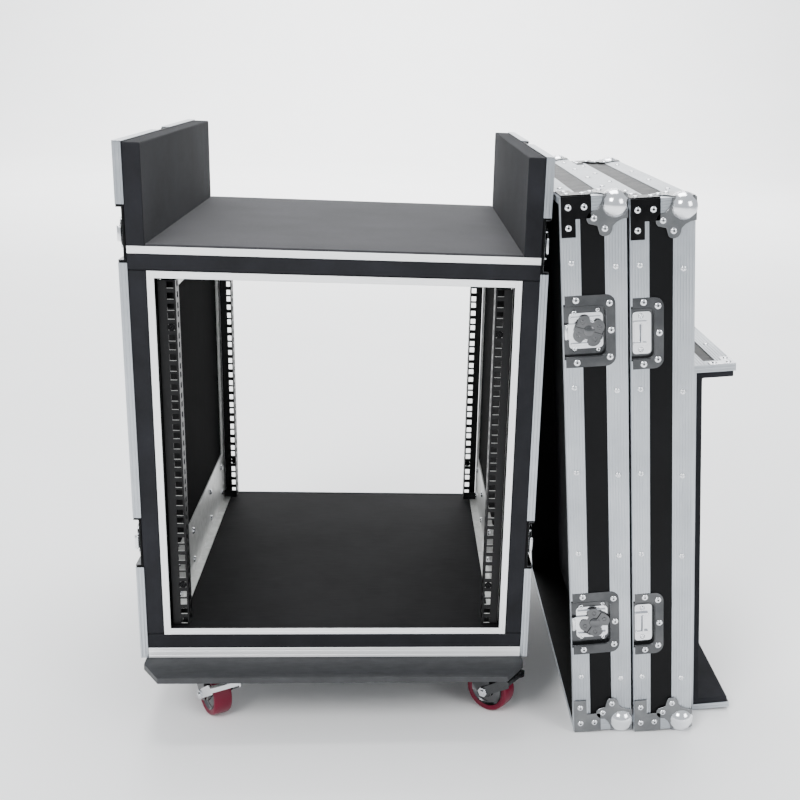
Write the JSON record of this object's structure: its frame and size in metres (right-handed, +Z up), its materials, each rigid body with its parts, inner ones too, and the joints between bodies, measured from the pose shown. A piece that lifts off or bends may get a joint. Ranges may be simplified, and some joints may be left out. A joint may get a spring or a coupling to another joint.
{
  "type": "equipment rack case",
  "caption": "Wheeled shock-mount flight case for 19-inch rack gear with a foam-lined deck, drilled rails, turning latches, and its covers and lid standing beside it.",
  "frame": {"origin": "on the floor, under the middle of the box around the whole set", "axes": "+Z up, -Y the case's front, +X from the case towards its covers and lid"},
  "size_m": [0.9428, 0.7046, 0.8856],
  "materials": {
    "board": "black painted plywood with light scuffs",
    "laminate": "plywood with a black plastic laminate face",
    "foam": "charcoal closed-cell foam, matt",
    "sleeve": "black faced plywood, satin",
    "aluminium": "extruded, with fine lengthwise grooves",
    "galvanised": "zinc plated sheet steel",
    "rail": "black powder coat",
    "chrome": "bright plated steel",
    "wheel": "dark red polyurethane tread"
  },
  "bodies": {
    "case": {"base_board": "board", "bottom_edge_front": "aluminium", "bottom_edge_rear": "aluminium", "bottom_panel": "laminate", "caster_plate_front_left": "galvanised", "caster_plate_front_right": "galvanised", "caster_plate_rear_left": "galvanised", "caster_plate_rear_right": "galvanised", "cover_a_lining": "foam", "cover_a_shell": "laminate", "cover_b_lining": "foam", "cover_b_shell": "laminate", "deck_edge_front": "aluminium", "deck_edge_rear": "aluminium", "deck_mat": "foam", "deck_panel": "laminate", "foam_bottom": "foam", "foam_left": "foam", "foam_right": "foam", "foam_top": "foam", "foam_upright_left": "foam", "foam_upright_right": "foam", "lid_lining": "foam", "lid_shell": "laminate", "rail_front_left": "rail", "rail_front_right": "rail", "rail_plate_left": "galvanised", "rail_plate_right": "galvanised", "rail_rear_left": "rail", "rail_rear_right": "rail", "side_edging_left": "aluminium", "side_edging_right": "aluminium", "side_left": "laminate", "side_right": "laminate", "sleeve_floor": "sleeve", "sleeve_frame_front": "aluminium", "sleeve_frame_rear": "aluminium", "sleeve_left": "sleeve", "sleeve_right": "sleeve", "sleeve_top": "sleeve"},
    "fork_front_left": {"fork_front_left": "galvanised"},
    "wheel_front_left": {"wheel_front_left": "wheel"},
    "brake_front_left": {"brake_pedal_front_left": "chrome"},
    "fork_front_right": {"fork_front_right": "galvanised"},
    "wheel_front_right": {"wheel_front_right": "wheel"},
    "brake_front_right": {"brake_pedal_front_right": "chrome"},
    "fork_rear_left": {"fork_rear_left": "galvanised"},
    "wheel_rear_left": {"wheel_rear_left": "wheel"},
    "fork_rear_right": {"fork_rear_right": "galvanised"},
    "wheel_rear_right": {"wheel_rear_right": "wheel"},
    "latch_front_left_low": {"latch_front_left_low": "chrome"},
    "latch_front_left_high": {"latch_front_left_high": "chrome"},
    "latch_lid_left": {"latch_lid_left": "chrome"},
    "latch_front_right_low": {"latch_front_right_low": "chrome"},
    "latch_front_right_high": {"latch_front_right_high": "chrome"},
    "latch_lid_right": {"latch_lid_right": "chrome"},
    "latch_cover_near_low": {"latch_cover_near_low": "chrome"},
    "latch_cover_near_high": {"latch_cover_near_high": "chrome"},
    "latch_cover_far_low": {"latch_cover_far_low": "chrome"},
    "latch_cover_far_high": {"latch_cover_far_high": "chrome"}
  },
  "joints": [
    {"name": "swivel_front_left", "type": "hinge", "parent": "case", "child": "fork_front_left", "pos_m": [-0.38037, -0.23525, 0.0916], "axis": [0, 0, 1], "continuous": true},
    {"name": "spin_front_left", "type": "hinge", "parent": "fork_front_left", "child": "wheel_front_left", "pos_m": [-0.36537, -0.26123, 0.0375], "axis": [0.866, 0.5, 0], "continuous": true},
    {"name": "brake_front_left", "type": "hinge", "parent": "fork_front_left", "child": "brake_front_left", "pos_m": [-0.36537, -0.26123, 0.0375], "axis": [0.866, 0.5, 0], "range_deg": [0, 12]},
    {"name": "swivel_front_right", "type": "hinge", "parent": "case", "child": "fork_front_right", "pos_m": [0.05163, -0.23525, 0.0916], "axis": [0, 0, 1], "continuous": true},
    {"name": "spin_front_right", "type": "hinge", "parent": "fork_front_right", "child": "wheel_front_right", "pos_m": [0.07527, -0.25372, 0.0375], "axis": [0.6157, 0.788, 0], "continuous": true},
    {"name": "brake_front_right", "type": "hinge", "parent": "fork_front_right", "child": "brake_front_right", "pos_m": [0.07527, -0.25372, 0.0375], "axis": [0.6157, 0.788, 0], "range_deg": [0, 12]},
    {"name": "swivel_rear_left", "type": "hinge", "parent": "case", "child": "fork_rear_left", "pos_m": [-0.38037, 0.23525, 0.0916], "axis": [0, 0, 1], "continuous": true},
    {"name": "spin_rear_left", "type": "hinge", "parent": "fork_rear_left", "child": "wheel_rear_left", "pos_m": [-0.37413, 0.26459, 0.0375], "axis": [-0.9781, 0.2079, 0], "continuous": true},
    {"name": "swivel_rear_right", "type": "hinge", "parent": "case", "child": "fork_rear_right", "pos_m": [0.05163, 0.23525, 0.0916], "axis": [0, 0, 1], "continuous": true},
    {"name": "spin_rear_right", "type": "hinge", "parent": "fork_rear_right", "child": "wheel_rear_right", "pos_m": [0.04387, 0.26423, 0.0375], "axis": [-0.9659, -0.2588, 0], "continuous": true},
    {"name": "latch_front_left_low_turn", "type": "hinge", "parent": "case", "child": "latch_front_left_low", "pos_m": [-0.46837, -0.25325, 0.3036], "axis": [-1, 0, 0], "range_deg": [0, 180]},
    {"name": "latch_front_left_high_turn", "type": "hinge", "parent": "case", "child": "latch_front_left_high", "pos_m": [-0.46837, -0.25325, 0.7616], "axis": [-1, 0, 0], "range_deg": [0, 180]},
    {"name": "latch_lid_left_turn", "type": "hinge", "parent": "case", "child": "latch_lid_left", "pos_m": [-0.46837, 0.00575, 0.8481], "axis": [-1, 0, 0], "range_deg": [0, 180]},
    {"name": "latch_front_right_low_turn", "type": "hinge", "parent": "case", "child": "latch_front_right_low", "pos_m": [0.12563, -0.25325, 0.3036], "axis": [1, 0, 0], "range_deg": [0, 180]},
    {"name": "latch_front_right_high_turn", "type": "hinge", "parent": "case", "child": "latch_front_right_high", "pos_m": [0.12563, -0.25325, 0.7616], "axis": [1, 0, 0], "range_deg": [0, 180]},
    {"name": "latch_lid_right_turn", "type": "hinge", "parent": "case", "child": "latch_lid_right", "pos_m": [0.12563, 0.00575, 0.8481], "axis": [1, 0, 0], "range_deg": [0, 180]},
    {"name": "latch_cover_near_low_turn", "type": "hinge", "parent": "case", "child": "latch_cover_near_low", "pos_m": [0.22344, -0.33125, 0.19242], "axis": [0, -1, 0], "range_deg": [0, 180]},
    {"name": "latch_cover_near_high_turn", "type": "hinge", "parent": "case", "child": "latch_cover_near_high", "pos_m": [0.18335, -0.33125, 0.65066], "axis": [0, -1, 0], "range_deg": [0, 180]},
    {"name": "latch_cover_far_low_turn", "type": "hinge", "parent": "case", "child": "latch_cover_far_low", "pos_m": [0.22344, 0.26575, 0.19242], "axis": [0, 1, 0], "range_deg": [0, 180]},
    {"name": "latch_cover_far_high_turn", "type": "hinge", "parent": "case", "child": "latch_cover_far_high", "pos_m": [0.18335, 0.26575, 0.65066], "axis": [0, 1, 0], "range_deg": [0, 180]}
  ]
}
